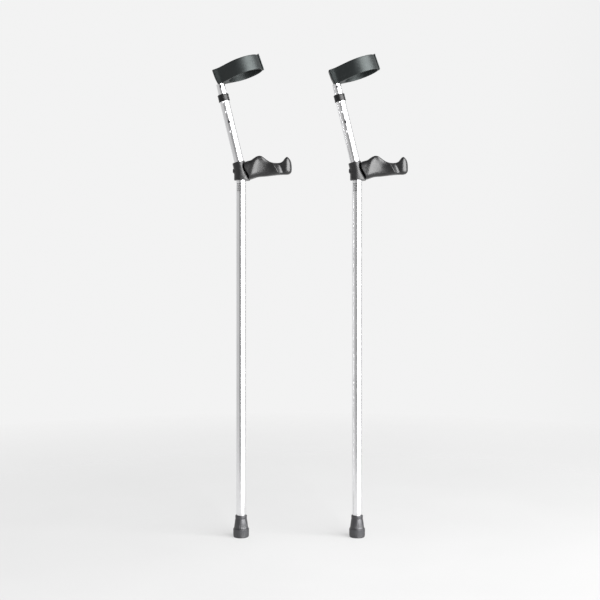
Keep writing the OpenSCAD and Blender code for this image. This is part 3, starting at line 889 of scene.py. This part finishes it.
def grip_handle():
    """Anatomical handle: a palm rest that overhangs on the user's side, a waist, and a horn at the tip."""
    around, along = 180, 200
    tip = GRIP_STATIONS[-1][0]
    angles = [2 * math.pi * k / around for k in range(around)]
    starts = [curve_through(HANDLE_EDGE, grip_point(14, angle).z)[0] for angle in angles]
    rings = [[grip_point(mix(start, tip, i / along), angle) * MM for start, angle in zip(starts, angles)]
             for i in range(along + 1)]
    axis_z = mix(GRIP_STATIONS[1][1], GRIP_STATIONS[1][2], 0.5) * MM
    mouth = []
    for inset, back in ((6.0, 0.4), (3.0, 0.7), (1.6, 0.75), (0.8, 0.6), (0.3, 0.3)):
        ring = []
        for p in rings[0]:
            inward = Vector((0, -p.y, axis_z - p.z)).normalized()
            ring.append(p + inward * inset * MM - Vector((back * MM, 0, 0)))
        mouth.append(ring)
    points, faces = loft(mouth + rings, True, True)
    show(mesh_of("grip_handle", points, faces, 60), "grip_handle", "frame", "grip_cover",
         GRIP_PLASTIC)


# ---------------------------------------------------------------- cuff

CUFF_LEAN = math.radians(19)
CUFF_U = Vector((math.cos(CUFF_LEAN), 0, math.sin(CUFF_LEAN)))
CUFF_W = Vector((-math.sin(CUFF_LEAN), 0, math.cos(CUFF_LEAN)))
RING_U = 86 * MM
RING_OUT_R = half_width("left_cuff")
RING_WALL = 3.5 * MM
RING_IN_R = RING_OUT_R - RING_WALL
BAND_LOW = 217.3 * MM
BAND_HIGH = 254.8 * MM
CHIN_U = 26 * MM
CHIN_SLOPE = math.tan(CUFF_LEAN - LEAN)
NECK_BEND_W = 236 * MM
NECK_FOOT_U = 15.2 * MM
# outline of the band's outside from the middle of the back to where it touches the ring, u and half width
NECK = [(12.5, 0, 0), (12.5, 13.6, 3.2), (28, 14.5, 14), (58.8, 37.1, 0)]
LIP_LENGTH = 6.2 * MM
LIP_HALF = 1.3 * MM
LIP_FLARE = math.radians(50)
LIP_RISE = 2.2 * MM
LIP_DROP = 0.3 * MM
SLIT_HALF = 1.5 * MM


def neck_half():
    """Outside of one side of the neck as plan points, from the middle of the back to the ring."""
    return filleted([(u * MM, v * MM, r * MM) for u, v, r in NECK], 8)


def band_path():
    """Pairs of inner and outer plan points for one half of the band, from the middle of the back forward."""
    centre = Vector((RING_U, 0))
    neck = neck_half()
    lengths = [0.0]
    for a, b in zip(neck, neck[1:]):
        lengths.append(lengths[-1] + (b - a).length)
    touch = math.atan2(neck[-1].y, neck[-1].x - RING_U)
    pairs = []
    neck_steps = 46
    for k in range(neck_steps):
        run = lengths[-1] * k / neck_steps
        i = max(j for j, length in enumerate(lengths) if length <= run + 1e-12)
        i = min(i, len(neck) - 2)
        t = (run - lengths[i]) / (lengths[i + 1] - lengths[i])
        outer = neck[i].lerp(neck[i + 1], t)
        angle = mix(math.pi, touch, (k / neck_steps) ** 1.25)
        inner = centre + RING_IN_R * Vector((math.cos(angle), math.sin(angle)))
        pairs.append((inner, outer))
    slit = (SLIT_HALF + 0.2 * MM) / RING_IN_R
    ring_steps = 84
    for k in range(ring_steps + 1):
        angle = mix(touch, slit, k / ring_steps)
        way = Vector((math.cos(angle), math.sin(angle)))
        pairs.append((centre + RING_IN_R * way, centre + RING_OUT_R * way))
    return pairs


def cuff_place(u, v, w):
    """A point of the cuff's own leaning frame, in the crutch's frame."""
    return BEND + CUFF_U * u + ACROSS * v + CUFF_W * w


def band_section(inner, outer):
    """Closed outline of the band's wall between two plan points, with softened rims, as (u, v, w)."""
    across = (outer - inner).normalized()
    r = min(1.1 * MM, (outer - inner).length * 0.42)
    arcs = []
    for corner, inward, low in ((inner, across, True), (outer, -across, True), (outer, -across, False),
                                (inner, across, False)):
        arc = []
        for k in range(5):
            a = math.pi / 2 * k / 4
            plan = corner + inward * r * (1 - math.cos(a))
            chin = max(0.0, CHIN_U - plan.x) * CHIN_SLOPE
            w = BAND_LOW + chin + r * (1 - math.sin(a)) if low else BAND_HIGH - r * (1 - math.sin(a))
            arc.append(Vector((plan.x, plan.y, w)))
        arcs.append(arc)
    low_in, low_out, high_out, high_in = arcs
    steps = 7
    outside = [low_out[0].lerp(high_out[0], k / steps) for k in range(1, steps)]
    inside = [high_in[0].lerp(low_in[0], k / steps) for k in range(1, steps)]
    return low_in + low_out[::-1] + outside + high_out + high_in[::-1] + inside


def slanted_back(p):
    """The neck's back face slants in below its bend."""
    drop = max(0.0, NECK_BEND_W - p.z)
    inset = drop * (NECK_FOOT_U - NECK[0][0] * MM) / (NECK_BEND_W - BAND_LOW)
    return Vector((p.x + inset * smoothstep((24 * MM - p.x) / (10 * MM)), p.y, p.z))


def band():
    """The band and its neck as one skin, from one edge of the slit round the back to the other."""
    half = band_path()
    walk = [(pair, 1) for pair in reversed(half)] + [(pair, -1) for pair in half[1:]]
    rings = []
    for (inner, outer), mirror in walk:
        section = [slanted_back(p) for p in band_section(inner, outer)]
        rings.append([cuff_place(p.x, p.y * mirror, p.z) for p in section])
    return loft(rings)


def lip(mirror):
    """A rounded bar along the slit that leans forward and away from it."""
    along = Vector((math.cos(LIP_FLARE), math.sin(LIP_FLARE)))
    aside = Vector((-along.y, along.x))
    root = Vector((RING_U + RING_IN_R + RING_WALL / 2, SLIT_HALF + 1.4 * MM))
    low, high = BAND_LOW - LIP_DROP, BAND_HIGH + LIP_RISE
    centre = root + along * (LIP_LENGTH - 1 * MM) / 2
    r = 0.9 * MM
    rings = []
    for end, way in ((low, 1), (high, -1)):
        stack = []
        for k in range(5):
            a = math.pi / 2 * k / 4
            inset = r * (1 - math.sin(a))
            w = end + way * r * (1 - math.cos(a))
            a_half, b_half = (LIP_LENGTH + 1 * MM) / 2 - inset, LIP_HALF - inset
            fillet = max(0.15 * MM, 1.1 * MM - inset)
            corner_ring = []
            for sa, sb, start in ((1, 1, 0), (-1, 1, 90), (-1, -1, 180), (1, -1, 270)):
                for j in range(5):
                    t = math.radians(start + 90 * j / 4)
                    x = sa * (a_half - fillet) + fillet * math.cos(t)
                    y = sb * (b_half - fillet) + fillet * math.sin(t)
                    plan = centre + along * x + aside * y
                    corner_ring.append(cuff_place(plan.x, plan.y * mirror, w))
            stack.append(corner_ring)
        rings += stack if way > 0 else stack[::-1]
    return loft(rings)


def cuff():
    """Round band with softened rims, a front slit whose lips flare out, and the neck on its tube."""
    points, faces = band()
    for mirror in (1, -1):
        more, more_faces = lip(mirror)
        faces += [tuple(i + len(points) for i in face) for face in more_faces]
        points += more
    foot, _ = reach("left_cuff", FOREARM, BEND)
    spigot_r = INNER_R - INNER_WALL - 0.05 * MM
    top = reach("left_cuff_tube", FOREARM, BEND)[1] + 0.4 * MM
    spigot, spigot_faces = lathe(filleted([
        (0, foot, 0), (spigot_r, foot, 0.6 * MM), (spigot_r, top, 0), (0, top, 0)], 3), 64)
    offset = len(points)
    points += turned(spigot, axis_frame(BEND, FOREARM))
    faces += [tuple(i + offset for i in face) for face in spigot_faces]
    show(mesh_of("cuff", points, faces, 40), "cuff", "cuff_assembly", "cuff", CUFF_PLASTIC)


# ---------------------------------------------------------------- hidden CAD nodes


def finish_hidden_nodes():
    """The pieces inside keep their CAD shape and get a finish."""
    for side in SIDES:
        for piece, material in (("leg_button_clip", SPRING_STEEL), ("cuff_button_clip", SPRING_STEEL),
                                ("ferrule_washer", ZINC_STEEL), ("grip_nut", ZINC_STEEL)):
            thing = frame["nodes"][f"{side}_{piece}"]
            for place in thing.material_slots:
                place.material = material


# ---------------------------------------------------------------- stage, light and camera


FLOOR_R = 2.4
FLOOR_GLOW = 0.52
FLOOR_ENDS, FLOOR_FULL = -1.15, -0.52
AIR_SIDE = 0.60
AIR_BACK = 0.895
AIR_FRONT = 0.28
AIR_RIGHT = 0.50
AIR_ABOVE = 0.3
KEY = {"azimuth": 47, "height": 1.9, "distance": 3.0, "width": 4.1, "tall": 4.8, "radiance": 9.2}
LENS = 63.06
LENS_SHIFT = -0.0433
EYE = Vector((PAIR_SHIFT / 2 + 2.2 * MM, -2.601, 0.650))


def floor():
    """A pale round floor. Its rim and its front fade into the pale air, so it has no horizon."""
    n = Nodes("studio_floor")
    coords = n.add("ShaderNodeTexCoord")
    length = n.add("ShaderNodeVectorMath", operation="LENGTH")
    n.link(coords.outputs["Object"], length.inputs[0])
    cloud = n.noise(n.place((2, 2, 2)), 2.0)
    pale = n.blended(n.ranged(cloud, 0, 1), (0.22, 0.22, 0.22), (0.24, 0.24, 0.24))
    n.shader.inputs["Emission Color"].default_value = (1, 1, 1, 1)
    n.shader.inputs["Emission Strength"].default_value = FLOOR_GLOW
    rim = n.ranged(length.outputs["Value"], 1.0, 0.0, FLOOR_R * 0.17, FLOOR_R * 0.98)
    split = n.add("ShaderNodeSeparateXYZ")
    n.link(coords.outputs["Object"], split.inputs["Vector"])
    front = n.ranged(split.outputs["Y"], 0.0, 1.0, FLOOR_ENDS, FLOOR_FULL)
    n.link(n.maths("MULTIPLY", rim, front), n.shader.inputs["Alpha"])
    n.finish(pale, 0.9, None, specular=0.1)
    turns = [2 * math.pi * k / 96 for k in range(96)]
    rings = [[Vector((r * math.cos(a), r * math.sin(a), 0)) for a in turns]
             for r in (0.02, 0.5 * FLOOR_R, FLOOR_R)]
    mesh = mesh_of("studio_floor", *loft(rings, True, False))
    mesh.materials.append(n.material)
    thing = bpy.data.objects.new("studio_floor", mesh)
    thing.location = (PAIR_SHIFT / 2, 0, 0)
    bpy.context.scene.collection.objects.link(thing)


def studio_air():
    """Soft surroundings: palest behind, dimmer at the sides, dimmest in front and overhead."""
    world = bpy.data.worlds.new("studio_air")
    world.use_nodes = True
    tree = world.node_tree
    coords = tree.nodes.new("ShaderNodeTexCoord")

    def toward(azimuth, elevation):
        """How much a direction of the sky points to an azimuth; 0 is the viewer's side, 90 the +X side."""
        a, e = math.radians(azimuth), math.radians(elevation)
        dot = tree.nodes.new("ShaderNodeVectorMath")
        dot.operation = "DOT_PRODUCT"
        dot.inputs[1].default_value = (math.sin(a) * math.cos(e), -math.cos(a) * math.cos(e), math.sin(e))
        tree.links.new(coords.outputs["Generated"], dot.inputs[0])
        return dot.outputs["Value"]

    def eased(value, from_low, from_high, low, high):
        """Low to high as the value goes over its span, with soft ends."""
        node = tree.nodes.new("ShaderNodeMapRange")
        node.interpolation_type = "SMOOTHSTEP"
        node.inputs["From Min"].default_value = from_low
        node.inputs["From Max"].default_value = from_high
        node.inputs["To Min"].default_value = low
        node.inputs["To Max"].default_value = high
        tree.links.new(value, node.inputs["Value"])
        return node.outputs["Result"]

    def product(a, b):
        """Both strengths multiplied."""
        node = tree.nodes.new("ShaderNodeMath")
        node.operation = "MULTIPLY"
        tree.links.new(a, node.inputs[0])
        tree.links.new(b, node.inputs[1])
        return node.outputs[0]

    back = eased(toward(180, 0), 0.2, 0.85, AIR_SIDE, AIR_BACK)
    front = eased(toward(-12, 0), 0.72, 0.98, 1.0, AIR_FRONT / AIR_SIDE)
    right = eased(toward(105, 0), 0.4, 0.9, 1.0, AIR_RIGHT / AIR_SIDE)
    above = eased(toward(0, 90), 0.35, 0.85, 1.0, AIR_ABOVE)
    strength = product(product(product(back, front), right), above)
    tree.links.new(strength, tree.nodes["Background"].inputs["Strength"])
    tree.nodes["Background"].inputs["Color"].default_value = (1, 1, 1, 1)
    bpy.context.scene.world = world


def soft_box(name, azimuth, height, distance, width, tall, radiance):
    """An upright area light that faces the crutches; azimuth 0 is the viewer's side, 90 the +X side."""
    a = math.radians(azimuth)
    way = Vector((math.sin(a), -math.cos(a), 0))
    light = bpy.data.lights.new(name, "AREA")
    light.shape = "RECTANGLE"
    light.size, light.size_y = width, tall
    light.energy = radiance * math.pi * width * tall
    thing = bpy.data.objects.new(name, light)
    thing.location = Vector((PAIR_SHIFT / 2, 0, height)) + way * distance
    thing.rotation_mode = "QUATERNION"
    thing.rotation_quaternion = (-way).to_track_quat("-Z", "Y")
    bpy.context.scene.collection.objects.link(thing)


def studio():
    """One large soft box at the front on the right, in pale air over a pale floor."""
    floor()
    studio_air()
    soft_box("key_box", **KEY)


def camera():
    """Level view from 2.6 m, centred between the crutches, with the frame slid down a little."""
    data = bpy.data.cameras.new("camera")
    data.sensor_width = 36
    data.lens = LENS
    data.shift_y = LENS_SHIFT
    data.dof.use_dof = False
    thing = bpy.data.objects.new("camera", data)
    thing.location = EYE
    thing.rotation_euler = (math.radians(90), 0, 0)
    bpy.context.scene.collection.objects.link(thing)
    bpy.context.scene.camera = thing
    bpy.context.scene.view_settings.view_transform = "Standard"


camera()
main_tube()
sliding_tubes()
snap_buttons()
cuff_rivet()
grip_bolt()
collar()
ferrule()
grip_sleeve()
grip_handle()
cuff()
finish_hidden_nodes()
studio()
